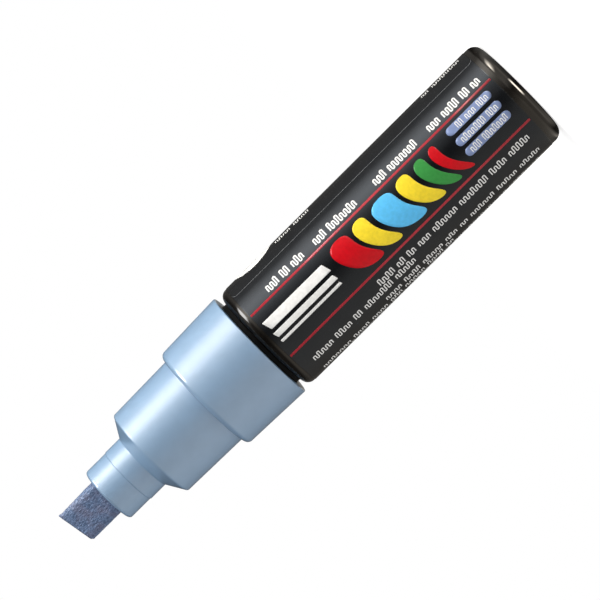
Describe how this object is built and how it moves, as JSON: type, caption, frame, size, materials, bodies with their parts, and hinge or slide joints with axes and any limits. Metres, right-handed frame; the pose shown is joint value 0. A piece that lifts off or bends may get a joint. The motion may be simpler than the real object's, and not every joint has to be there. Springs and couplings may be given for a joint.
{
  "type": "paint marker",
  "caption": "Valve-action paint marker with a broad slanted felt nib, stepped nozzle and collar, and a labelled barrel; pressing the nib opens a sprung valve.",
  "frame": {"origin": "centre of the flat base, on the surface that the marker stands on", "axes": "+Z along the axis from the base to the nib; the nib's broad faces look along +Y and -Y, and the long corner of its slanted edge is on the +X side"},
  "size_m": [0.0254, 0.0254, 0.1229],
  "materials": {
    "barrel_black": "glossy black moulded plastic",
    "label_film": "glossy black printed film",
    "slate_plastic": "satin pearl slate-blue moulded plastic",
    "nib_felt": "pressed felt soaked with slate paint",
    "natural_plastic": "unpigmented moulded plastic",
    "seal_rubber": "soft moulded elastomer",
    "steel": "bright stainless steel"
  },
  "bodies": {
    "barrel": {"barrel": "barrel_black", "barrel_label": "label_film", "front_section": "slate_plastic", "nib_holder": "slate_plastic", "neck_gasket": "seal_rubber", "valve_body": "natural_plastic", "valve_spring": "steel", "spring_retainer": "natural_plastic"},
    "stem": {"valve_stem": "natural_plastic", "valve_seal": "seal_rubber"},
    "nib": {"nib": "nib_felt"},
    "ball_a": {"mixing_ball_a": "steel"},
    "ball_b": {"mixing_ball_b": "steel"}
  },
  "joints": [
    {"name": "valve_press", "type": "slide", "parent": "barrel", "child": "stem", "axis": [0, 0, -1], "range_m": [0, 0.0025], "stiffness_N_per_m": 800, "springref_m": -0.0015, "deforming": ["valve_spring"]},
    {"name": "nib_pull", "type": "slide", "parent": "stem", "child": "nib", "axis": [0, 0, 1], "range_m": [0, 0.024]},
    {"name": "ball_a_rattle", "type": "slide", "parent": "barrel", "child": "ball_a", "axis": [0, 0, 1], "range_m": [0, 0.058]},
    {"name": "ball_b_rattle", "type": "slide", "parent": "barrel", "child": "ball_b", "axis": [0, 0, 1], "range_m": [0, 0.058]}
  ]
}
